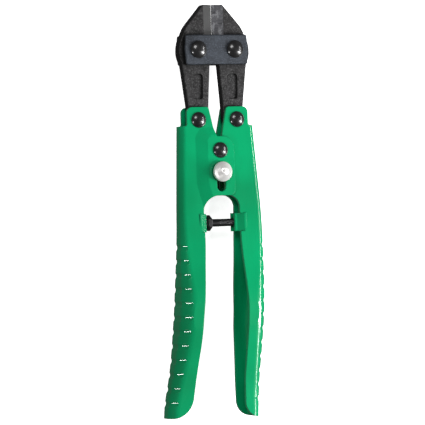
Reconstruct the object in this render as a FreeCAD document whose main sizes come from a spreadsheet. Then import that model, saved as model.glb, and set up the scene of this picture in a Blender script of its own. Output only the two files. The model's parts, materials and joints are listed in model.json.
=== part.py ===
import FreeCAD, Part
import math
import os
import re

import Sketcher

# Small bolt cutters, in millimetres.  X is across the tool, +Y points to the jaws, +Z is the front.
# Everything is drawn round the centre pivot and moved at the end, so that the part's origin is the
# bottom centre of its box.

os.makedirs("parts", exist_ok=True)
doc = FreeCAD.newDocument("bolt_cutters")
Vector = FreeCAD.Vector

SIZES = {
    # linkage
    "pin_x": 10.2, "pin_y": 51.0, "ear_x": 10.7, "ear_y": 15.5,
    # sheet metal and layers, each a height above the mid-plane
    "sheet": 1.6, "ear_face": 4.0, "lobe_face": 5.75, "right_inset": 0.05,
    "jaw_half": 2.75, "tail_half": 2.2, "plate_low": 2.85, "plate_high": 5.75,
    # jaws
    "tip_y": 73.9, "tip_x": 5.3, "cheek_x": 15.4, "cheek_y": 62.4, "cheek_low_y": 53.6,
    "blade_gap": 0.1, "blade_low_y": 58.0, "throat_x": 1.6, "throat_y": 54.0,
    "arm_in_x": 2.7, "arm_in_y": 42.0, "waist_x": 17.9, "waist_y": 43.4, "jaw_side_x": 19.5,
    "tail_out_x": 14.9, "tail_in_x": 4.9, "tail_end_y": 10.9, "tail_round": 4.6, "step_y": 44.4,
    "cheek_round": 14.0, "bevel_width": 5.5, "bevel_land": 0.12, "jaw_edge": 0.35,
    "pad_in_x": 6.6, "pad_out_x": 12.7, "pad_low_y": 26.0, "pad_high_y": 38.9, "pad_depth": 0.9,
    "pad_low_round": 1.2, "pad_high_round": 2.0,
    # coupling plates
    "plate_half": 17.0, "plate_crown": 0.7, "plate_low_y": 43.4, "plate_high_y": 58.45, "plate_edge": 0.45,
    # rivets
    "pin_shank": 2.9, "pin_head": 4.45, "pin_rise": 2.4, "pin_rim": 0.5, "pin_round": 5.3,
    "ear_shank": 2.2, "ear_head": 3.9, "ear_rise": 2.0, "ear_rim": 0.4, "ear_round": 4.8,
    "centre_shank": 2.5, "running": 0.05, "loop_gap": 0.15,
    # centre pivot
    "spacer_radius": 4.0, "spacer_half": 2.3, "washer_radius": 6.0, "washer_gap": 0.02,
    # handles, plan
    "ear_top_y": 22.0, "web_top_y": 12.4, "ear_back_x": 17.2, "notch_round": 1.2, "ear_corner": 3.0,
    "notch_top_x": 5.1, "notch_low_x": 1.75, "notch_low_y": 7.0,
    "lobe_x": 7.8, "lobe_top_y": 6.9, "lobe_round": 6.7, "arch_y": 23.0, "arch_round": 8.0,
    "throat_left_x": 9.6, "throat_right_x": 10.5, "throat_y_low": 47.0,
    "disc": 6.3, "window_x": 2.9, "window_y": 6.6,
    "left_grip_x": 15.6, "left_grip_y": 98.0, "left_tip_x": 21.4, "left_tip_y": 134.4,
    "left_tip_round": 11.5, "right_grip_x": 11.5, "right_grip_y": 79.0, "right_low_x": 9.2,
    "right_low_y": 117.0, "right_tip_y": 136.0, "right_tip_round": 8.0, "grip_bend": 110.0,
    "far_x": 45.0, "left_open_x": 0.0, "right_open_x": -8.0,
    # left lobe joggle
    "foot_x": 13.0, "foot_y": 11.6, "foot_low_x": 9.0, "foot_low_y": 31.0, "ramp_top_x": 6.9,
    "ramp_top_y": 7.4, "ramp_low_x": 3.5, "ramp_low_y": 28.0, "bend_y": 17.0, "joggle_far_x": 14.0,
    # stop bolt and its pressed noses
    "stop_y": 36.8, "nose_width": 9.3, "nose_face": 2.8, "nose_left_x": 7.7, "nose_right_x": 8.0,
    "slope_left_x": 10.9, "slope_right_x": 12.8, "nose_flat": 1.4,
    "bolt_shank": 1.95, "bolt_core": 1.68, "bolt_pitch": 0.7, "bolt_head_half": 3.5, "bolt_head_thick": 2.8,
    "bolt_head_x": 7.6, "bolt_end_x": 17.9, "thread_x": 0.6, "nut_half": 2.5, "nut_half_y": 3.2,
    "nut_low_x": 14.2, "nut_high_x": 17.4, "bolt_clear": 0.12,
    "rest_half": 9.55,
    # finger grooves
    "groove_first_y": 48.7, "groove_pitch": 7.1, "groove_radius": 2.6, "groove_depth": 0.5,
    "groove_lean": 24.0,
    # latch
    "latch_y": 11.0, "latch_travel": 7.5, "slot_half": 2.5, "stud_radius": 2.1, "stud_back": 9.1,
    "stud_front": 8.6, "knob_base": 3.5, "knob_radius": 5.1, "knob_low": 5.85, "knob_neck": 6.35,
    "knob_rim_low": 6.95, "knob_rim_high": 8.3, "knob_shoulder": 9.5, "knob_top": 11.2,
    "knob_face": 3.7, "bush_radius": 2.35, "bush_half": 5.6, "latch_washer": 4.2, "wave_low": 5.85,
    "wave_high": 6.35, "back_washer_high": 7.35, "clip_high": 8.05, "clip_radius": 3.4, "clip_core": 1.6,
    # opening spring
    "coil_radius": 4.95, "coil_wire": 0.45, "coil_pitch": 0.98, "coil_lean": 35.0, "coil_leg": 25.0,
}

# Handle stations down the grip: distance below the pivot, overall width in Z, back of the left and
# of the right handle in X, radius of the back corners.  The first two are the ends of the straight
# part round the pivot.
STATIONS = [
    (-24.0, 8.0, 20.2, 19.4, 3.0),
    (27.0, 8.0, 22.3, 23.3, 3.0),
    (31.0, 8.15, 22.4, 23.5, 3.0),
    (45.0, 9.9, 22.65, 23.65, 3.4),
    (58.0, 13.4, 23.2, 23.4, 4.6),
    (69.0, 17.4, 23.7, 22.9, 6.0),
    (80.0, 19.5, 24.4, 22.3, 6.8),
    (91.0, 18.9, 25.7, 21.5, 6.8),
    (104.0, 15.8, 27.6, 20.3, 6.0),
    (117.0, 13.2, 30.1, 19.0, 5.2),
    (130.0, 12.4, 32.6, 18.0, 4.8),
    (143.0, 12.0, 34.6, 17.2, 4.6),
]

sheet = doc.addObject("Spreadsheet::Sheet", "Sizes")


def set_cell(row, name, number):
    sheet.set(f"A{row}", name)
    sheet.set(f"B{row}", str(number))
    sheet.setAlias(f"B{row}", name)


for row, (name, number) in enumerate(SIZES.items(), start=1):
    set_cell(row, name, number)
STATION_WORDS = ("below", "wide", "left_back", "right_back", "round")
row = len(SIZES) + 1
for number, station in enumerate(STATIONS):
    for word, size in zip(STATION_WORDS, station):
        set_cell(row, f"station_{word}_{number}", size)
        row += 1
doc.recompute()


def words(text):
    """The signed terms of a sum such as "pin_x + 0.5*pin_head - 2", as (sign, factors)."""
    sign = 1
    for word in text.split():
        if word in "+-":
            sign = 1 if word == "+" else -1
        else:
            yield sign, word.split("*")


def value(text):
    """The number that a sum of sheet words comes to."""
    total = 0.0
    for sign, factors in words(text):
        term = float(sign)
        for factor in factors:
            term *= float(factor) if factor[0].isdigit() else float(sheet.get(factor))
        total += term
    return total


def bound(text):
    """The same sum as an expression on the sheet's cells."""
    return re.sub(r"([A-Za-z]\w*)", r"Sizes.\1", text.strip())


def minus(text):
    """The sum with every term's sign turned; the text starts with a word, not a sign."""
    turned = text.replace(" + ", " ~ ").replace(" - ", " + ").replace(" ~ ", " - ")
    return f"- {turned}"


def minus_if(sign, text):
    return minus(text) if sign else text


def bind(target, path, text):
    target.setExpression(path, bound(text))


def new_body(label):
    body = doc.addObject("PartDesign::Body", label)
    body.Label = label
    return body


def plane(body, role):
    return next(feature for feature in body.Origin.OriginFeatures if feature.Role == role)


def sketch_on(body, name, role, offset=""):
    """A sketch on one of the body's own planes, moved along the plane's normal by a sum."""
    sketch = body.newObject("Sketcher::SketchObject", name)
    sketch.AttachmentSupport = [(plane(body, role), "")]
    sketch.MapMode = "FlatFace"
    if offset:
        sketch.AttachmentOffset = FreeCAD.Placement(Vector(0, 0, value(offset)), FreeCAD.Rotation())
        bind(sketch, "AttachmentOffset.Base.z", offset)
    return sketch


def dimension(sketch, kind, *where, text):
    """A dimension that takes its value from the sheet."""
    index = sketch.addConstraint(Sketcher.Constraint(kind, *where, value(text)))
    bind(sketch, f"Constraints[{index}]", text)


def turn_arc(before, corner, after, radius):
    """Tangent arc round a corner: its centre, start and end angles, and whether it runs clockwise."""
    into = (corner - before).normalize()
    out = (after - corner).normalize()
    turn = into.getAngle(out)
    reach = radius * math.tan(turn / 2)
    start = corner - into * reach
    end = corner + out * reach
    clockwise = into.cross(out).z < 0
    side = Vector(into.y, -into.x, 0) if clockwise else Vector(-into.y, into.x, 0)
    centre = start + side * radius
    return start, end, centre, clockwise


def outline(sketch, corners):
    """Closed outline through corners (x, y, radius), each a sum; every size is a dimension."""
    points = [Vector(value(x), value(y), 0) for x, y, _ in corners]
    count = len(points)
    starts, ends, arcs = [], [], {}
    for i, (_, _, radius) in enumerate(corners):
        if not radius:
            starts.append(points[i])
            ends.append(points[i])
            continue
        start, end, centre, clockwise = turn_arc(points[i - 1], points[i], points[(i + 1) % count],
                                                 value(radius))
        starts.append(start)
        ends.append(end)
        arcs[i] = (start, end, centre, clockwise)
    lines = [sketch.addGeometry(Part.LineSegment(ends[i], starts[(i + 1) % count]), False)
             for i in range(count)]
    for i, (x, y, radius) in enumerate(corners):
        incoming, leaving = lines[i - 1], lines[i]
        if i not in arcs:
            sketch.addConstraint(Sketcher.Constraint("Coincident", incoming, 2, leaving, 1))
            dimension(sketch, "DistanceX", leaving, 1, text=x)
            dimension(sketch, "DistanceY", leaving, 1, text=y)
            continue
        start, end, centre, clockwise = arcs[i]
        first, last = (end, start) if clockwise else (start, end)
        whole = Part.Circle(centre, Vector(0, 0, 1), value(radius))
        angles = [math.atan2(p.y - centre.y, p.x - centre.x) for p in (first, last)]
        if angles[1] < angles[0]:
            angles[1] += 2 * math.pi
        arc = sketch.addGeometry(Part.ArcOfCircle(whole, *angles), False)
        enter, leave = (2, 1) if clockwise else (1, 2)
        sketch.addConstraint(Sketcher.Constraint("Tangent", incoming, 2, arc, enter))
        sketch.addConstraint(Sketcher.Constraint("Tangent", arc, leave, leaving, 1))
        dimension(sketch, "Radius", arc, text=radius)
        corner = sketch.addGeometry(Part.Point(points[i]), True)
        sketch.addConstraint(Sketcher.Constraint("PointOnObject", corner, 1, incoming))
        sketch.addConstraint(Sketcher.Constraint("PointOnObject", corner, 1, leaving))
        dimension(sketch, "DistanceX", corner, 1, text=x)
        dimension(sketch, "DistanceY", corner, 1, text=y)


def circle(sketch, x, y, radius):
    geometry = sketch.addGeometry(Part.Circle(Vector(value(x), value(y), 0), Vector(0, 0, 1),
                                              value(radius)), False)
    dimension(sketch, "Radius", geometry, text=radius)
    dimension(sketch, "DistanceX", geometry, 3, text=x)
    dimension(sketch, "DistanceY", geometry, 3, text=y)


def settle(feature):
    """Recompute, and stop at a feature that failed."""
    doc.recompute()
    if "Invalid" in feature.State or "Error" in feature.State:
        raise RuntimeError(f"{feature.Name} failed: {feature.getStatusString()}")


def extrude(body, kind, sketch, length, reverse=False, both=False):
    """Pad or Pocket a sketch by a length; a Pocket that removes nothing is an error."""
    doc.recompute()
    before = body.Shape.Volume if kind == "Pocket" else 0.0
    feature = body.newObject(f"PartDesign::{kind}", f"{body.Label}_{kind}")
    feature.Profile = sketch
    feature.Length = value(length)
    bind(feature, "Length", length)
    feature.Reversed = reverse
    if both:
        feature.SideType = "Symmetric"
    sketch.Visibility = False
    settle(feature)
    if kind == "Pocket" and body.Shape.Volume > before - 1e-4:
        raise RuntimeError(f"{sketch.Name} cuts nothing")
    return feature


def revolve(body, corners, axis="V_Axis", role="XZ_Plane", kind="Revolution"):
    sketch = sketch_on(body, f"{body.Label}_{kind}_profile", role)
    outline(sketch, corners)
    doc.recompute()
    feature = body.newObject(f"PartDesign::{kind}", f"{body.Label}_{kind}")
    feature.Profile = sketch
    feature.ReferenceAxis = (sketch, [axis])
    feature.Angle = 360
    sketch.Visibility = False
    settle(feature)
    return feature


def loft(body, kind, sections, ruled):
    doc.recompute()
    feature = body.newObject(f"PartDesign::{kind}", f"{body.Label}_{kind}")
    feature.Profile = sections[0]
    feature.Sections = sections[1:]
    feature.Ruled = ruled
    feature.Refine = False
    settle(feature)
    return feature


def bevel_edges(body, picks, size):
    """Chamfer the edges of the body's shape for which picks(edge) holds."""
    doc.recompute()
    base = body.Tip
    names = [f"Edge{i}" for i, edge in enumerate(base.Shape.Edges, start=1) if picks(edge)]
    feature = body.newObject("PartDesign::Chamfer", f"{body.Label}_chamfer")
    feature.Base = (base, names)
    feature.Size = value(size)
    bind(feature, "Size", size)
    settle(feature)


def domed_rivet(label, word, face):
    """A rivet with a domed head on each side; face is the height its heads sit on."""
    body = new_body(label)
    shank = "centre_shank" if word == "centre" else f"{word}_shank"
    head = "ear" if word == "centre" else word
    top = f"{face} + {head}_rise"
    rim = f"{face} + {head}_rim"
    crown = f"0.6*{head}_head"
    revolve(body, [
        ("0", minus(top), ""), (crown, minus(top), f"{head}_round"),
        (f"{head}_head", minus(rim), ""), (f"{head}_head", f"- {face}", ""),
        (shank, f"- {face}", ""), (shank, face, ""), (f"{head}_head", face, ""),
        (f"{head}_head", rim, ""), (crown, top, f"{head}_round"), ("0", top, ""),
    ])
    return body


def place(body, x=0.0, y=0.0, z=0.0):
    body.Placement = FreeCAD.Placement(Vector(x, y, z), FreeCAD.Rotation())


def ring(label, radius, bore, low, high):
    """A turned ring between two heights."""
    body = new_body(label)
    revolve(body, [(bore, low, ""), (radius, low, ""), (radius, high, ""), (bore, high, "")])
    return body


def make_right_jaw():
    body = new_body("right_jaw")
    plan = sketch_on(body, "right_jaw_plan", "XY_Plane")
    outline(plan, [
        ("blade_gap", "tip_y", ""), ("tip_x", "tip_y", "1"), ("cheek_x", "cheek_y", "cheek_round"),
        ("jaw_side_x", "cheek_low_y", "cheek_round"), ("jaw_side_x", "waist_y + 4.5", "0.75*cheek_round"),
        ("waist_x", "waist_y", "cheek_round"), ("tail_out_x", "ear_y + 4", "20"),
        ("tail_out_x - 0.2", "tail_end_y", "tail_round"), ("tail_in_x", "tail_end_y", "tail_round"),
        ("arm_in_x", "arm_in_y", "20"), ("throat_x", "throat_y", "4"),
        ("throat_x", "blade_low_y - 1.2", "0.6"), ("blade_gap", "blade_low_y", "0.6"),
    ])
    extrude(body, "Pad", plan, "2*jaw_half", both=True)
    for sign, reverse in (("", False), ("- ", True)):
        step = sketch_on(body, f"right_jaw_step_{int(reverse)}", "XY_Plane", f"{sign}tail_half")
        outline(step, [("- 5", "0", ""), ("30", "0", ""), ("30", "step_y", ""), ("- 5", "step_y", "")])
        extrude(body, "Pocket", step, "2", reverse=not reverse)
    for half in ("jaw_half", "tail_half"):
        bevel_edges(body, lambda edge: is_face_edge(edge, value(half)), "jaw_edge")
    for sign, side in (("", "front"), ("- ", "back")):
        bevel = sketch_on(body, f"right_jaw_bevel_{side}", "XZ_Plane", "- tip_y - 1")
        beyond = minus_if(sign, "jaw_half + 1")
        outline(bevel, [
            ("- 1", f"{sign}bevel_land", ""), ("blade_gap", f"{sign}bevel_land", ""),
            ("bevel_width", f"{sign}jaw_half", ""), ("bevel_width", beyond, ""), ("- 1", beyond, ""),
        ])
        extrude(body, "Pocket", bevel, "tip_y - blade_low_y + 2.2", reverse=True)
    pad = sketch_on(body, "right_jaw_recess", "XY_Plane", "tail_half")
    outline(pad, [
        ("pad_in_x + 0.5", "pad_low_y", "pad_low_round"), ("pad_out_x - 0.4", "pad_low_y", "pad_low_round"),
        ("pad_out_x", "pad_high_y", "pad_high_round"), ("pad_in_x", "pad_high_y", "pad_high_round"),
    ])
    extrude(body, "Pocket", pad, "pad_depth")
    holes = sketch_on(body, "right_jaw_holes", "XY_Plane")
    circle(holes, "pin_x", "pin_y", "pin_shank + loop_gap")
    circle(holes, "ear_x", "ear_y", "ear_shank + running")
    extrude(body, "Pocket", holes, "4*jaw_half", both=True)
    return body


def is_face_edge(edge, half):
    """An edge of the jaw's front or back face at this height that isn't on the cutting side."""
    box = edge.BoundBox
    flat = box.ZLength < 1e-6
    on_face = abs(abs(box.ZMin) - half) < 1e-6
    step = box.YLength < 1e-6 and abs(box.YMin - value("step_y")) < 1e-6
    cutting = box.XMax < value("throat_x") + 0.5 and box.YMin > value("throat_y") - 1
    return flat and on_face and not step and not cutting


def make_coupling_plate(label):
    body = new_body(label)
    plan = sketch_on(body, f"{label}_plan", "XY_Plane", "plate_low")
    crown, half = "plate_half + plate_crown", "plate_half"
    middle = "0.5*plate_low_y + 0.5*plate_high_y"
    outline(plan, [
        (minus(half), "plate_low_y", "1"), (half, "plate_low_y", "1"), (crown, middle, "12"),
        (half, "plate_high_y", "1"), (minus(half), "plate_high_y", "1"), (minus(crown), middle, "12"),
    ])
    extrude(body, "Pad", plan, "plate_high - plate_low")
    bevel_edges(body, lambda edge: edge.BoundBox.ZMin > value("plate_high") - 1e-6, "plate_edge")
    holes = sketch_on(body, f"{label}_holes", "XY_Plane")
    for x in ("pin_x", "- pin_x"):
        circle(holes, x, "pin_y", "pin_shank")
    extrude(body, "Pocket", holes, "2*plate_high", reverse=True)
    return body


def channel_section(body, side, number, inset, name):
    """One U-channel section: a box from the back to past the open side, with its back rounded."""
    sketch = sketch_on(body, f"{body.Label}_{name}_{number}", "XZ_Plane", f"station_below_{number}")
    back = f"station_{side}_back_{number}"
    half = f"0.5*station_wide_{number}" + (" - right_inset" if side == "right" else "")
    radius = f"station_round_{number}"
    open_x = f"{side}_open_x"
    if inset:
        back, half, radius = f"{back} - sheet", f"{half} - sheet", f"{radius} - sheet"
        open_x = f"{side}_open_x - 3"
    if side == "left":
        back, open_x = minus(back), minus(open_x)
    corners = [(back, minus(half), radius), (open_x, minus(half), ""), (open_x, half, ""),
               (back, half, radius)]
    outline(sketch, corners)
    return sketch


def channel(body, side, inset):
    """The handle's channel: a straight stretch round the pivot, then the smooth grip."""
    kind = "SubtractiveLoft" if inset else "AdditiveLoft"
    name = "hollow" if inset else "skin"
    sections = [channel_section(body, side, n, inset, name) for n in range(len(STATIONS))]
    loft(body, kind, sections[:2], ruled=True)
    again = channel_section(body, side, 1, inset, f"{name}_again")
    loft(body, kind, [again] + sections[2:], ruled=False)


def trim(body, corners, bores):
    """Cut away everything outside the plan outline, and the bores."""
    sketch = sketch_on(body, f"{body.Label}_plan", "XY_Plane")
    outline(sketch, corners)
    outline(sketch, [("- 80", "- 180", ""), ("80", "- 180", ""), ("80", "80", ""), ("- 80", "80", "")])
    extrude(body, "Pocket", sketch, "60", both=True)
    holes = sketch_on(body, f"{body.Label}_bores", "XY_Plane")
    for x, y, radius in bores:
        circle(holes, x, y, radius)
    extrude(body, "Pocket", holes, "60", both=True)


def reach(shape, y, way):
    """How far the shape goes in a direction, at one height."""
    cut = shape.common(Part.makePlane(60, 200, Vector(-100, y, -30), Vector(0, 1, 0), Vector(0, 0, 1)))
    return max(point.dot(way) for edge in cut.Edges for point in edge.discretize(40))


def finger_grooves(body, side, count=12):
    """Shallow round-bottomed grooves across the handle's back and round both its corners."""
    sign = -1 if side == "left" else 1
    smooth = body.Shape.copy()
    lean = value("groove_lean")
    for number, angle in enumerate((0.0, lean, -lean, 2 * lean, -2 * lean)):
        sketch = sketch_on(body, f"{body.Label}_grooves_{number}", "XY_Plane")
        tilt = FreeCAD.Rotation(Vector(0, 1, 0), -sign * angle)
        sketch.AttachmentOffset = FreeCAD.Placement(Vector(), tilt)
        turn = math.radians(angle)
        way = Vector(sign * math.cos(turn), 0, math.sin(turn))
        for i in range(count):
            drop = f"groove_first_y + {i}*groove_pitch"
            outward = reach(smooth, -value(drop), way) + value("groove_radius") - value("groove_depth")
            centre = Vector(sign * outward, -value(drop), 0)
            rim = Part.Circle(centre, Vector(0, 0, 1), value("groove_radius"))
            geometry = sketch.addGeometry(rim, False)
            dimension(sketch, "Radius", geometry, text="groove_radius")
            dimension(sketch, "DistanceY", geometry, 3, text=minus(drop))
            sketch.addConstraint(Sketcher.Constraint("DistanceX", geometry, 3, sign * outward))
        extrude(body, "Pocket", sketch, "60", both=True)


def flatten_swell(body):
    """Plane off the widest part of the grip, front and back, so that the tool rests flat."""
    for sign, reverse in (("", True), ("- ", False)):
        sketch = sketch_on(body, f"{body.Label}_rest_{int(reverse)}", "XY_Plane", f"{sign}rest_half")
        outline(sketch, [("- 40", "- 110", ""), ("40", "- 110", ""),
                         ("40", "- 50", ""), ("- 40", "- 50", "")])
        extrude(body, "Pocket", sketch, "5", reverse=reverse)


def pressed_noses(body, side):
    """Two strips of the flanges pressed inwards to a nose that meets the stop bolt."""
    mirror = minus if side == "left" else (lambda text: text)
    low, high = "- stop_y - 0.5*nose_width", "- stop_y + 0.5*nose_width"
    slit = sketch_on(body, f"{body.Label}_slits", "XY_Plane")
    outline(slit, [(mirror("2"), low, ""), (mirror(f"slope_{side}_x"), low, ""),
                   (mirror(f"slope_{side}_x"), high, ""), (mirror("2"), high, "")])
    extrude(body, "Pocket", slit, "30", both=True)
    face = "0.5*station_wide_3 - 0.45"
    flat_x = f"nose_{side}_x + nose_flat"
    root_x, end_x = f"slope_{side}_x + 1.2", f"slope_{side}_x"
    for sign in ("", "- "):
        strip = sketch_on(body, f"{body.Label}_nose_{'back' if sign else 'front'}", "XZ_Plane", "stop_y")
        outline(strip, [
            (mirror(f"nose_{side}_x"), minus_if(sign, "nose_face"), "0.5"),
            (mirror(flat_x), minus_if(sign, "nose_face"), "1"),
            (mirror(end_x), minus_if(sign, face), "1"), (mirror(root_x), minus_if(sign, face), ""),
            (mirror(root_x), minus_if(sign, f"{face} - sheet"), ""),
            (mirror(f"{end_x} + 0.3"), minus_if(sign, f"{face} - sheet"), ""),
            (mirror(f"{flat_x} + 0.3"), minus_if(sign, "nose_face - sheet"), ""),
            (mirror(f"nose_{side}_x"), minus_if(sign, "nose_face - sheet"), ""),
        ])
        extrude(body, "Pad", strip, "nose_width", both=True)


def joggle(body, kind, lower, front):
    """The raised lobe over the right handle: a shallow frustum from the ear's face to the lobe's."""
    sign = "" if front else "- "
    shift = " - sheet" if lower else ""
    inset = 0.25 if lower else 0.0
    name = f"{body.Label}_{kind}_{'front' if front else 'back'}"
    foot = sketch_on(body, f"{name}_foot", "XY_Plane", minus_if(sign, f"ear_face - 0.02{shift}"))
    top = sketch_on(body, f"{name}_top", "XY_Plane", minus_if(sign, f"lobe_face{shift}"))
    outline(foot, joggle_corners("foot", inset, "6"))
    outline(top, joggle_corners("ramp_top", inset, "3"))
    return foot, top


def joggle_corners(word, inset, radius):
    low = "foot_low" if word == "foot" else "ramp_low"
    return [
        ("joggle_far_x", f"{word}_y", ""), (f"- {word}_x + {inset}", f"{word}_y - {inset}", radius),
        (f"- {word}_x + {inset}", "- bend_y", "6"), (f"- {low}_x + {inset}", f"- {low}_y", ""),
        ("joggle_far_x", f"- {low}_y", ""),
    ]


def make_left_handle():
    body = new_body("left_handle")
    channel(body, "left", inset=False)
    for front in (True, False):
        loft(body, "AdditiveLoft", joggle(body, "lobe", False, front), ruled=True)
    channel(body, "left", inset=True)
    for front in (True, False):
        loft(body, "SubtractiveLoft", joggle(body, "under", True, front), ruled=True)
    trim(body, [
        ("- far_x", "web_top_y", ""), ("- ear_back_x", "web_top_y", "notch_round"),
        ("- ear_back_x", "ear_top_y", "ear_corner"), ("- notch_top_x", "ear_top_y", "1.5"),
        ("- notch_low_x", "notch_low_y", "0.8"), ("lobe_x", "lobe_top_y", "lobe_round"),
        ("lobe_x", "- arch_y", "3"), ("- throat_left_x", "- arch_y", "arch_round"),
        ("- throat_left_x", "- throat_y_low", "grip_bend"), ("- left_grip_x", "- left_grip_y", "grip_bend"),
        ("- left_tip_x", "- left_tip_y", "left_tip_round"), ("- far_x", "- left_tip_y", ""),
    ], [("- ear_x", "ear_y", "ear_shank"), ("0", "0", "centre_shank")])
    slot = sketch_on(body, "left_handle_slot", "XY_Plane")
    high, low = "- latch_y + slot_half", "- latch_y - latch_travel - slot_half"
    outline(slot, [(x, y, "slot_half - 0.05") for x, y in (
        ("slot_half", high), ("slot_half", low), ("- slot_half", low), ("- slot_half", high))])
    extrude(body, "Pocket", slot, "60", both=True)
    pressed_noses(body, "left")
    flatten_swell(body)
    finger_grooves(body, "left")
    return body


def make_right_handle():
    body = new_body("right_handle")
    channel(body, "right", inset=False)
    channel(body, "right", inset=True)
    trim(body, [
        ("far_x", "web_top_y", ""), ("ear_back_x - 0.3", "web_top_y", "notch_round"),
        ("ear_back_x - 0.3", "ear_top_y", "ear_corner"), ("notch_top_x", "ear_top_y", "1.5"),
        ("notch_low_x", "disc + 0.2", "0.4"), ("- disc", "disc", "disc - 0.2"),
        ("- disc", "- window_y", "disc - 0.2"), ("window_x", "- window_y", "1"),
        ("window_x", "- arch_y", "1"), ("throat_right_x", "- arch_y", "arch_round - 2"),
        ("throat_right_x", "- throat_y_low", "grip_bend"), ("right_grip_x", "- right_grip_y", "grip_bend"),
        ("right_low_x", "- right_low_y", "grip_bend - 50"),
        ("right_low_x", "- right_tip_y", "right_tip_round"), ("far_x", "- right_tip_y", ""),
    ], [("ear_x", "ear_y", "ear_shank"), ("0", "0", "centre_shank + running")])
    pressed_noses(body, "right")
    bore = sketch_on(body, "right_handle_bolt_bore", "YZ_Plane")
    circle(bore, "- stop_y", "0", "bolt_shank + bolt_clear")
    extrude(body, "Pocket", bore, "nut_low_x + 1", reverse=True)
    flatten_swell(body)
    finger_grooves(body, "right")
    return body


def hexagon(sketch, half, y):
    """A hexagon of the given half width across flats, with flats top and bottom."""
    corner = 2 * value(half) / math.sqrt(3)
    points = [Vector(value(y) + corner * math.cos(math.radians(60 * i)),
                     corner * math.sin(math.radians(60 * i)), 0) for i in range(6)]
    lines = [sketch.addGeometry(Part.LineSegment(points[i], points[(i + 1) % 6]), False) for i in range(6)]
    rim = sketch.addGeometry(Part.Circle(Vector(value(y), 0, 0), Vector(0, 0, 1), corner), True)
    for i in range(6):
        sketch.addConstraint(Sketcher.Constraint("Coincident", lines[i], 2, lines[(i + 1) % 6], 1))
        sketch.addConstraint(Sketcher.Constraint("PointOnObject", lines[i], 1, rim))
    for i in range(1, 6):
        sketch.addConstraint(Sketcher.Constraint("Equal", lines[0], lines[i]))
    sketch.addConstraint(Sketcher.Constraint("Horizontal", lines[1]))
    dimension(sketch, "DistanceX", rim, 3, text=y)
    dimension(sketch, "DistanceY", rim, 3, text="0")
    dimension(sketch, "DistanceY", lines[1], 1, text=half)


def make_stop_bolt():
    """M4 bolt lying along X: domed hexagon head on the left, thread cut as rings."""
    body = new_body("stop_bolt")
    head = sketch_on(body, "stop_bolt_head", "YZ_Plane", "- bolt_head_x")
    hexagon(head, "bolt_head_half", "0")
    extrude(body, "Pad", head, "bolt_head_thick")
    rounding = [
        ("- bolt_head_x - 1", "2.2", ""), ("- bolt_head_x", "2.2", ""),
        ("- bolt_head_x + 1.3", "bolt_head_half + 0.6", ""), ("- bolt_head_x - 1", "bolt_head_half + 3", ""),
    ]
    revolve(body, rounding, axis="H_Axis", role="XY_Plane", kind="Groove")
    shank = sketch_on(body, "stop_bolt_shank", "YZ_Plane", "- bolt_head_x + bolt_head_thick")
    circle(shank, "0", "0", "bolt_shank")
    extrude(body, "Pad", shank, "bolt_head_x - bolt_head_thick + bolt_end_x")
    tooth = sketch_on(body, "stop_bolt_tooth", "XY_Plane")
    outline(tooth, [("thread_x", "bolt_core", ""), ("thread_x + 0.47*bolt_pitch", "bolt_shank + 0.05", ""),
                    ("thread_x - 0.47*bolt_pitch", "bolt_shank + 0.05", "")])
    doc.recompute()
    groove = body.newObject("PartDesign::Groove", "stop_bolt_thread")
    groove.Profile = tooth
    groove.ReferenceAxis = (tooth, ["H_Axis"])
    groove.Angle = 360
    doc.recompute()
    turns = int((value("bolt_end_x") - value("thread_x")) / value("bolt_pitch"))
    pattern = body.newObject("PartDesign::LinearPattern", "stop_bolt_threads")
    pattern.Originals = [groove]
    pattern.Direction = (tooth, ["H_Axis"])
    pattern.Length = (turns - 1) * value("bolt_pitch")
    pattern.Occurrences = turns
    body.Tip = pattern
    doc.recompute()
    place(body, y=-value("stop_y"))
    return body


def make_stop_nut():
    body = new_body("stop_nut")
    plan = sketch_on(body, "stop_nut_plan", "YZ_Plane", "nut_low_x")
    outline(plan, [("- nut_half_y", "- nut_half", "0.5"), ("nut_half_y", "- nut_half", "0.5"),
                   ("nut_half_y", "nut_half", "0.5"), ("- nut_half_y", "nut_half", "0.5")])
    circle(plan, "0", "0", "bolt_shank + running")
    extrude(body, "Pad", plan, "nut_high_x - nut_low_x")
    place(body, y=-value("stop_y"))
    return body


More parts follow.
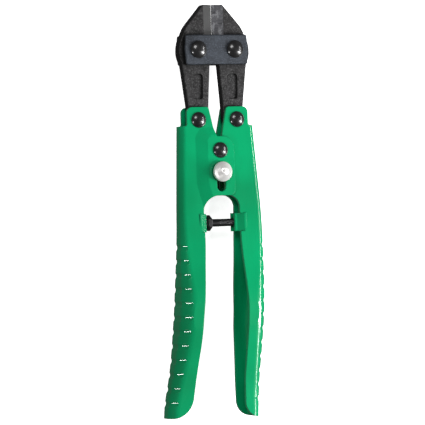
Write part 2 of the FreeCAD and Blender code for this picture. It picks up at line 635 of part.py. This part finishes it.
def make_latch():
    """Knob, stud and what holds the stud at the back, all on the knob's own axis."""
    knob = new_body("latch_knob")
    revolve(knob, [
        ("stud_radius", "knob_low", ""), ("knob_base", "knob_low", ""), ("knob_base", "knob_neck", "0.5"),
        ("knob_radius", "knob_rim_low", "0.5"), ("knob_radius", "knob_rim_high", "0.8"),
        ("knob_face", "knob_shoulder", "1.5"), ("1.5", "knob_top", "3"), ("0", "knob_top", ""),
        ("0", "stud_front", ""), ("stud_radius", "stud_front", ""),
    ])
    stud = new_body("latch_stud")
    groove_low, groove_high = "back_washer_high", "clip_high"
    revolve(stud, [
        ("0", "- stud_back", ""), ("stud_radius - 0.3", "- stud_back", ""),
        ("stud_radius", "- stud_back + 0.3", ""),
        ("stud_radius", f"- {groove_high}", ""), ("clip_core", f"- {groove_high}", ""),
        ("clip_core", f"- {groove_low}", ""), ("stud_radius", f"- {groove_low}", ""),
        ("stud_radius", "stud_front", ""), ("0", "stud_front", ""),
    ])
    bush = ring("latch_guide_bush", "bush_radius", "stud_radius", "- bush_half", "bush_half")
    wave = ring("latch_wave_washer", "latch_washer - 0.5", "stud_radius", "- wave_high", "- wave_low")
    washer = ring("latch_back_washer", "latch_washer", "stud_radius", "- back_washer_high", "- wave_high")
    clip = new_body("latch_clip")
    plan = sketch_on(clip, "latch_clip_plan", "XY_Plane", "- clip_high")
    circle(plan, "0", "0", "clip_radius")
    circle(plan, "0", "0", "clip_core")
    extrude(clip, "Pad", plan, "clip_high - back_washer_high")
    mouth = sketch_on(clip, "latch_clip_mouth", "XY_Plane", "- clip_high")
    outline(mouth, [("- 0.8*clip_core", "0", ""), ("- 0.9*clip_core", "- 5", ""),
                    ("0.9*clip_core", "- 5", ""), ("0.8*clip_core", "0", "")])
    extrude(clip, "Pocket", mouth, "2", reverse=True)
    parts = [knob, stud, bush, wave, washer, clip]
    for body in parts:
        place(body, y=-value("latch_y"))
    return parts


def make_spring():
    """Torsion spring round the spacer: a coil with two straight legs leaning down and outwards."""
    radius, wire = value("coil_radius"), value("coil_wire")
    pitch, lean = value("coil_pitch"), math.radians(value("coil_lean"))
    turns = 3 + (math.pi - 2 * lean) / (2 * math.pi)
    height = pitch * turns
    coil = Part.makeHelix(pitch, height, radius)
    coil.rotate(Vector(0, 0, 0), Vector(0, 0, 1), math.degrees(lean))
    coil.translate(Vector(0, 0, -height / 2))
    edges = coil.Edges
    first, last = edges[0], edges[-1]
    start, end = first.valueAt(first.FirstParameter), last.valueAt(last.LastParameter)
    begin_way = first.tangentAt(first.FirstParameter)
    end_way = last.tangentAt(last.LastParameter)
    leg = value("coil_leg")
    for way in (begin_way, end_way):
        way.z = 0
        way.normalize()
    path = Part.Wire([Part.makeLine(start - begin_way * leg, start)] + edges
                     + [Part.makeLine(end, end + end_way * leg)])
    section = Part.Wire([Part.makeCircle(wire, start - begin_way * leg, begin_way)])
    feature = doc.addObject("Part::Feature", "opening_spring")
    feature.Label = "opening_spring"
    feature.Shape = path.makePipeShell([section], True, True)
    return feature


def mirrored_copy(source, label, normal):
    copy = doc.addObject("Part::Mirroring", label)
    copy.Label = label
    copy.Source = source
    copy.Normal = normal
    doc.recompute()
    return copy


def make_washers():
    """Two thin washers on the centre rivet, one between each pair of handle lobes."""
    high = "lobe_face - sheet - washer_gap"
    front = ring("front_pivot_washer", "washer_radius", "centre_shank", "ear_face", high)
    back = mirrored_copy(front, "back_pivot_washer", Vector(0, 0, 1))
    return [front, back]


def make_all():
    right_jaw = make_right_jaw()
    left_jaw = mirrored_copy(right_jaw, "left_jaw", Vector(1, 0, 0))
    front_plate = make_coupling_plate("front_coupling_plate")
    back_plate = mirrored_copy(front_plate, "back_coupling_plate", Vector(0, 0, 1))
    parts = [right_jaw, left_jaw, front_plate, back_plate]
    for side, sign in (("left", -1), ("right", 1)):
        pin = domed_rivet(f"{side}_jaw_pin", "pin", "plate_high")
        place(pin, sign * value("pin_x"), value("pin_y"))
        rivet = domed_rivet(f"{side}_ear_rivet", "ear", "ear_face")
        place(rivet, sign * value("ear_x"), value("ear_y"))
        parts += [pin, rivet]
    parts.append(domed_rivet("centre_pivot_rivet", "centre", "lobe_face"))
    parts.append(ring("centre_spacer_tube", "spacer_radius", "centre_shank", "- spacer_half", "spacer_half"))
    parts += make_washers()
    parts += [make_left_handle(), make_right_handle(), make_stop_bolt(), make_stop_nut(), make_spring()]
    parts += make_latch()
    return parts


def check_and_write(parts):
    doc.recompute()
    for item in doc.Objects:
        if any(state in ("Invalid", "Error") for state in item.State):
            raise RuntimeError(f"{item.Label} failed: {item.State}")
    shapes = {part.Label: part.Shape.copy() for part in parts}
    for label, shape in shapes.items():
        if shape.isNull() or not shape.isValid() or shape.Volume <= 0 or len(shape.Solids) != 1:
            raise RuntimeError(f"{label} has a bad shape: {len(shape.Solids)} solids")
    box = FreeCAD.BoundBox()
    for shape in shapes.values():
        box.add(shape.optimalBoundingBox(False, False))
    shift = Vector(-box.Center.x, -box.Center.y, -box.ZMin)
    for label, shape in shapes.items():
        shape.translate(shift)
        shape.exportStep(f"parts/{label}.step")
    print("parts", len(shapes), "size", box.XLength, box.YLength, box.ZLength, "shift", shift)


check_and_write(make_all())
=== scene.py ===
import json
import math

import bpy
from mathutils import Matrix, Vector


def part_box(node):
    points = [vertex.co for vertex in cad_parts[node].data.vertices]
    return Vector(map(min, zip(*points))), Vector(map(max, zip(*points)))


# Looks for the small bolt cutters: the frame's own nodes with painted, blackened, ground and plated
# metals, the tool lying on a pale floor, and the camera over its left side.

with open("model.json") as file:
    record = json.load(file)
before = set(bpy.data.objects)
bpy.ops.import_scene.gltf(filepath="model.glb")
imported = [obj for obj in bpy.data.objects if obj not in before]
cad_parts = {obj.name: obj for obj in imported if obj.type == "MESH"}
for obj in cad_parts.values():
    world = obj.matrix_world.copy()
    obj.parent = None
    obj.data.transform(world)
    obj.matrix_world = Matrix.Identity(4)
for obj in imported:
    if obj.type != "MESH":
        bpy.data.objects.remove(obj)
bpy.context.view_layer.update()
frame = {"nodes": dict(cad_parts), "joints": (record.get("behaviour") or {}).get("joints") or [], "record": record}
nodes = frame["nodes"]

MM = 0.001
joints = {joint["name"]: joint for joint in frame["joints"]}
PIVOT = Vector(joints["handle_pivot"]["pos_m"])

ENAMEL_DEEP = (0.0, 0.235, 0.085, 1)
ENAMEL_BRIGHT = (0.0, 0.320, 0.120, 1)
# Lighter green for the edges: wear on the enamel together with a painted edge highlight.
ENAMEL_WORN_AND_HIGHLIGHT = (0.03, 0.46, 0.28, 1)
ENAMEL_FLECK = (0.0, 0.12, 0.06, 1)
# Dark green painted as shade into corners and hollows.
ENAMEL_PAINTED_SHADE = (0.0, 0.045, 0.022, 1)

SCALE_DARK_TINT = (1.0, 0.94, 0.97)
SCALE_LIGHT_TINT = (1.0, 0.95, 1.0)
GROUND_TINT = (0.97, 0.97, 1.05)
BLOTCH_TINT = (0.97, 0.98, 1.04)
OXIDE_TINT = (1.0, 0.98, 1.04)
BLUED_TINT = (0.84, 1.0, 1.28)

# A cutting bevel's face leans this far towards X, and still faces this far up or down.
BEVEL_LEAN_LOW = 0.36
BEVEL_LEAN_HIGH = 0.50
BEVEL_FACING = 0.86


# ---------------------------------------------------------------- shader graph helpers

class Graph:
    """A material's node tree, with short calls that make a node, set its sockets and link it."""

    def __init__(self, name):
        self.material = bpy.data.materials.new(name)
        self.material.use_nodes = True
        self.tree = self.material.node_tree
        self.shader = self.tree.nodes["Principled BSDF"]

    def give(self, socket, given):
        """Link an output to the socket, or set the socket's own value."""
        if isinstance(given, bpy.types.NodeSocket):
            self.tree.links.new(given, socket)
        else:
            socket.default_value = given

    def node(self, kind, values=None, **settings):
        made = self.tree.nodes.new(kind)
        for key, setting in settings.items():
            setattr(made, key, setting)
        for socket, given in (values or {}).items():
            self.give(made.inputs[socket], given)
        return made

    def surface(self, **values):
        for socket, given in values.items():
            self.give(self.shader.inputs[socket.replace("_", " ")], given)

    def place(self):
        return self.node("ShaderNodeTexCoord").outputs["Object"]

    def noise(self, scale, detail=3.0, stretch=(1, 1, 1), roughness=0.5):
        spread = self.node("ShaderNodeMapping", {"Vector": self.place(), "Scale": stretch})
        made = self.node("ShaderNodeTexNoise", {
            "Vector": spread.outputs[0], "Scale": scale, "Detail": detail, "Roughness": roughness,
        })
        return made.outputs["Fac"]

    def math(self, operation, first, second=0.0):
        return self.node("ShaderNodeMath", {0: first, 1: second}, operation=operation).outputs[0]

    def times(self, first, second):
        return self.math("MULTIPLY", first, second)

    def between(self, given, low, high):
        """1 where the value lies between the two limits, 0 elsewhere."""
        return self.times(self.math("GREATER_THAN", given, low), self.math("LESS_THAN", given, high))

    def vector(self, operation, first, second=(0, 0, 0)):
        return self.node("ShaderNodeVectorMath", {0: first, 1: second}, operation=operation).outputs

    def remap(self, given, low, high, to_low=0.0, to_high=1.0):
        made = self.node("ShaderNodeMapRange", {
            "Value": given, "From Min": low, "From Max": high, "To Min": to_low, "To Max": to_high,
        })
        return made.outputs[0]

    def mix(self, factor, first, second):
        """The first colour where the factor is 0, the second where it is 1."""
        made = self.node("ShaderNodeMix", {0: factor, 6: first, 7: second}, data_type="RGBA")
        return made.outputs[2]

    def round_normal(self, radius):
        return self.node("ShaderNodeBevel", {"Radius": radius}, samples=6).outputs[0]

    def edges(self, radius):
        """1 on a convex or concave edge within the radius, 0 on open faces."""
        soft = self.round_normal(radius)
        hard = self.node("ShaderNodeNewGeometry").outputs["Normal"]
        return self.remap(self.vector("DOT_PRODUCT", soft, hard)["Value"], 0.995, 0.90)

    def edge_patches(self, radius, scale, low, high):
        """Patches along the edges: wear, which the enamel and the screw also use as a painted highlight."""
        return self.times(self.edges(radius), self.remap(self.noise(scale, 4.0), low, high))

    def openness(self, reach):
        """0 in a corner or hollow narrower than the reach, 1 in the open."""
        return self.node("ShaderNodeAmbientOcclusion", {"Distance": reach}, samples=8).outputs["AO"]

    def lean(self, axis):
        """How far the flat face leans towards the tool's own X, Y or Z."""
        normal = self.node("ShaderNodeNewGeometry").outputs["True Normal"]
        return self.node("ShaderNodeSeparateXYZ", {"Vector": normal}).outputs[axis]

    def facing(self):
        """1 on a face that looks straight up or down, 0 on an upright side."""
        return self.math("ABSOLUTE", self.lean("Z"))

    def bump(self, height, strength, distance, round_edges):
        values = {"Height": height, "Strength": strength, "Distance": distance}
        values["Normal"] = self.round_normal(round_edges)
        return self.node("ShaderNodeBump", values).outputs[0]


def grey(level, tint=(1.0, 1.0, 1.0)):
    return (level * tint[0], level * tint[1], level * tint[2], 1.0)


# ---------------------------------------------------------------- materials

def green_enamel():
    """Glossy stoved enamel: slight orange peel, painted shade in its corners and hollows, and wearing thin along
    the edges, where it is lightened as a painted highlight too.
    """
    g = Graph("green_enamel")
    cloud = g.noise(28.0, 2.0)
    paint = g.mix(g.remap(cloud, 0.35, 0.68), ENAMEL_DEEP, ENAMEL_BRIGHT)
    # Edges lightened: wear together with a painted highlight along the sheet edges.
    worn_and_highlight = g.edge_patches(0.3 * MM, 420.0, 0.48, 0.66)
    paint = g.mix(g.times(worn_and_highlight, 0.6), paint, ENAMEL_WORN_AND_HIGHLIGHT)
    fleck = g.remap(g.noise(2600.0, 1.0), 0.66, 0.72)
    paint = g.mix(g.times(fleck, 0.25), paint, ENAMEL_FLECK)
    # Painted shade: darker in corners, in hollows and round the rivet heads.
    paint = g.mix(g.remap(g.openness(1.6 * MM), 0.45, 0.9), ENAMEL_PAINTED_SHADE, paint)
    smudge = g.remap(g.noise(55.0, 5.0, (1, 0.35, 1)), 0.4, 0.75)
    peel = g.math("ADD", g.noise(650.0, 2.0), g.times(g.noise(70.0, 1.0), 2.0))
    g.surface(
        Base_Color=paint,
        Metallic=0.0,
        Specular_IOR_Level=0.08,
        Roughness=g.remap(smudge, 0.0, 1.0, 0.22, 0.32),
        Coat_Weight=0.9,
        Coat_Roughness=0.04,
        Normal=g.bump(peel, 0.12, 0.04 * MM, 0.6 * MM),
    )
    return g.material


def forged_steel():
    """Forged jaws: scaly black oxide, with painted shade down the upright sides and in the hollows. The right
    jaw's bevel is ground bright, and the left one's is painted darker, as shade."""
    g = Graph("forged_steel")
    scale = g.noise(260.0, 5.0, roughness=0.7)
    grain = g.noise(1500.0, 3.0)
    tone = g.mix(g.remap(scale, 0.38, 0.62), grey(0.004, SCALE_DARK_TINT), grey(0.028, SCALE_LIGHT_TINT))
    tone = g.mix(g.times(g.remap(grain, 0.52, 0.64), 0.6), tone, grey(0.085))
    tone = g.mix(g.times(g.edge_patches(0.35 * MM, 500.0, 0.40, 0.60), 0.35), tone, grey(0.13))
    # Painted shade: the upright sides darker than the faces that look up or down.
    tone = g.mix(g.remap(g.facing(), 0.3, 0.75), grey(0.010), tone)
    # Painted shade: darker in corners and hollows.
    tone = g.mix(g.remap(g.openness(1.3 * MM), 0.55, 0.92), grey(0.004), tone)

    leaning = g.between(g.math("ABSOLUTE", g.lean("X")), BEVEL_LEAN_LOW, BEVEL_LEAN_HIGH)
    ground = g.times(leaning, g.math("GREATER_THAN", g.facing(), BEVEL_FACING))
    streak = g.noise(900.0, 4.0, (0.10, 1.0, 0.10), 0.7)
    blotch = g.noise(420.0, 5.0, (1.0, 0.6, 1.0), 0.75)
    bright = g.mix(g.remap(streak, 0.3, 0.7), grey(0.035, GROUND_TINT), grey(0.12, GROUND_TINT))
    bright = g.mix(g.remap(blotch, 0.50, 0.62), bright, grey(0.21, BLOTCH_TINT))
    # Painted shade: the bevel that leans towards +X, the left jaw's, is painted darker than the ground bright one.
    bevel = g.mix(g.math("GREATER_THAN", g.lean("X"), 0.0), bright, grey(0.062))

    forged_height = g.math("ADD", scale, g.times(grain, 0.6))
    height = g.mix(ground, forged_height, g.times(streak, 0.5))
    g.surface(
        Base_Color=g.mix(ground, tone, bevel),
        Metallic=g.remap(ground, 0, 1, 0.2, 0.5),
        Roughness=g.remap(ground, 0, 1, 0.55, 0.38),
        Specular_IOR_Level=0.3,
        Normal=g.bump(height, 0.5, 0.14 * MM, 0.35 * MM),
    )
    return g.material


def black_oxide(name, level, roughness, tint=OXIDE_TINT, metallic=0.5, coat=0.0, sparkle=0.12, side=1.0,
                edge_brightening=0.4):
    """Blackened steel with a fine grain. Side is how far the upright sides darken as painted shade, and the last
    argument how far the edges brighten: wear, and on the screw's thread crests a painted highlight as well."""
    g = Graph(name)
    grain = g.noise(1300.0, 4.0, roughness=0.7)
    patch = g.noise(160.0, 4.0, roughness=0.6)
    tone = g.mix(g.remap(patch, 0.35, 0.7), grey(level * 0.7, tint), grey(level * 1.3, tint))
    tone = g.mix(g.times(g.remap(grain, 0.52, 0.68), sparkle), tone, grey(level * 2.6, tint))
    # Edges brightened: wear, and on the screw's thread crests a painted highlight too.
    tone = g.mix(g.times(g.edge_patches(0.25 * MM, 700.0, 0.45, 0.65), edge_brightening), tone, grey(0.20, tint))
    # Painted shade: the upright sides darker, as far as side asks; the rivets ask for none.
    upright = g.remap(g.facing(), 0.2, 0.6)
    tone = g.mix(g.math("MAXIMUM", upright, 1.0 - side), grey(level * 0.12, tint), tone)
    g.surface(
        Base_Color=tone,
        Metallic=metallic,
        Coat_Weight=coat,
        Coat_Roughness=0.12,
        Roughness=g.remap(patch, 0.3, 0.7, roughness - 0.04, roughness + 0.07),
        Normal=g.bump(grain, sparkle, 0.06 * MM, 0.3 * MM),
    )
    return g.material


def nickel():
    """Bright plated knob with fine turned rings, which spread the highlights across them."""
    g = Graph("turned_nickel")
    low, high = (Vector(corner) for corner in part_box("latch_knob"))
    axis = (low + high) / 2
    across = g.vector("SUBTRACT", g.place(), (axis.x, axis.y, 0))[0]
    flat = g.vector("MULTIPLY", across, (1, 1, 0))[0]
    radius = g.vector("LENGTH", flat)["Value"]
    ring = g.node("ShaderNodeTexNoise", {"W": radius, "Scale": 6000.0, "Detail": 3.0}, noise_dimensions="1D")
    haze = g.noise(420.0, 3.0)
    around = g.node("ShaderNodeTangent", direction_type="RADIAL", axis="Z").outputs[0]
    g.surface(
        Base_Color=g.mix(haze, grey(0.90, (1.0, 0.97, 0.95)), grey(1.0, (1.0, 0.98, 0.96))),
        Metallic=0.5,
        Roughness=g.remap(haze, 0.3, 0.7, 0.34, 0.42),
        Anisotropic=0.9,
        Tangent=around,
        Normal=g.bump(ring.outputs["Fac"], 0.15, 0.012 * MM, 0.25 * MM),
    )
    return g.material


def zinc():
    """Bright zinc on the small turned parts and the spring, faintly clouded."""
    g = Graph("zinc_plate")
    cloud = g.noise(500.0, 4.0)
    g.surface(
        Base_Color=g.mix(cloud, grey(0.42, (1.0, 0.98, 0.92)), grey(0.60, (1.0, 0.98, 0.94))),
        Metallic=1.0,
        Roughness=g.remap(cloud, 0.3, 0.7, 0.26, 0.42),
        Normal=g.bump(cloud, 0.1, 0.03 * MM, 0.15 * MM),
    )
    return g.material


def floor_material():
    """Pale floor that gives off a little light, so that it stays white under the dim studio."""
    g = Graph("floor_pale")
    g.surface(
        Base_Color=g.mix(g.noise(3.0), grey(0.86), grey(0.90)),
        Roughness=0.8,
        Specular_IOR_Level=0.0,
        Emission_Color=(1, 1, 1, 1),
        Emission_Strength=0.85,
    )
    return g.material


FINISHES = {
    "handle_paint": green_enamel(),
    "forged_black": forged_steel(),
    "plate_dark": black_oxide("blued_plate", 0.036, 0.46, tint=BLUED_TINT, metallic=0.4, sparkle=0.9),
    "rivet_black": black_oxide("polished_black", 0.016, 0.30, metallic=0.3, coat=0.6, sparkle=0.04, side=0.0),
    "knob_nickel": nickel(),
    # The screw's edges brighten strongly: wear and a painted highlight on the thread crests.
    "screw_black": black_oxide("screw_black", 0.016, 0.34, edge_brightening=0.9),
    "zinc_steel": zinc(),
}


def dress_nodes():
    slots = {part["node"]: part["material_slot"] for part in frame["record"]["subparts"]}
    for name, node in nodes.items():
        node.data.materials.clear()
        node.data.materials.append(FINISHES[slots[name]])


# ---------------------------------------------------------------- stage, light and camera

FLOOR_SIZE = 6.0
FLOOR_GAP = 0.2 * MM
WORLD_STRENGTH = 0.10


def make_floor():
    """A floor just under the tool. Reflections and bounced light leave it out, so that the tool's sides
    stay dark."""
    bpy.ops.mesh.primitive_plane_add(size=FLOOR_SIZE, location=(0, 0, -FLOOR_GAP))
    floor = bpy.context.object
    floor.name = "floor"
    floor.data.materials.append(floor_material())
    floor.visible_glossy = False
    floor.visible_diffuse = False


def area_light(name, way, distance, size, power):
    """A soft panel at a distance from the pivot in the given direction, facing it."""
    light = bpy.data.lights.new(name, "AREA")
    light.shape = "RECTANGLE"
    light.size, light.size_y = size
    light.energy = power
    holder = bpy.data.objects.new(name, light)
    holder.location = PIVOT + Vector(way).normalized() * distance
    holder.rotation_euler = (-Vector(way)).to_track_quat("-Z", "Y").to_euler()
    bpy.context.scene.collection.objects.link(holder)


def make_world():
    """Dim, even studio light, and a view transform that keeps the enamel's green and the floor's white."""
    world = bpy.data.worlds.new("studio")
    world.use_nodes = True
    background = world.node_tree.nodes["Background"]
    background.inputs["Color"].default_value = (1, 1, 1, 1)
    background.inputs["Strength"].default_value = WORLD_STRENGTH
    bpy.context.scene.world = world
    bpy.context.scene.view_settings.view_transform = "Standard"


def make_lights():
    """Two soft panels, a strip for the line along the right grip's edge, and a small panel for the glints
    in the left grip's grooves."""
    area_light("upper_left", way=(-0.39, 0.48, 0.77), distance=0.9, size=(0.34, 0.34), power=3.7)
    area_light("right", way=(0.74, -0.25, 0.55), distance=0.42, size=(0.08, 0.28), power=1.9)
    area_light("rim", way=(0.82, -0.05, 0.52), distance=0.6, size=(0.60, 0.05), power=2.4)
    area_light("glint", way=(-0.79, -0.40, 0.46), distance=1.0, size=(0.12, 0.12), power=2.2)


TURN = math.radians(25)
ROLL = math.radians(2.05)
DISTANCE = 1.4
SEEN_WIDTH = 0.2157
SENSOR = 36
AIM = PIVOT + Vector((-3.0, -31.5, 0)) * MM


def make_camera():
    """Over the tool's left side, looking down, with the tool upright in the frame."""
    back = Vector((-math.sin(TURN), 0, math.cos(TURN)))
    level = Vector((math.cos(TURN), 0, math.sin(TURN)))
    along = Vector((0, 1, 0))
    right = level * math.cos(ROLL) - along * math.sin(ROLL)
    up = level * math.sin(ROLL) + along * math.cos(ROLL)
    data = bpy.data.cameras.new("camera")
    data.sensor_width = SENSOR
    data.lens = SENSOR * DISTANCE / SEEN_WIDTH
    camera = bpy.data.objects.new("camera", data)
    camera.matrix_world = Matrix((right, up, back)).transposed().to_4x4()
    camera.location = AIM + back * DISTANCE
    bpy.context.scene.collection.objects.link(camera)
    bpy.context.scene.camera = camera


dress_nodes()
make_floor()
make_world()
make_lights()
make_camera()
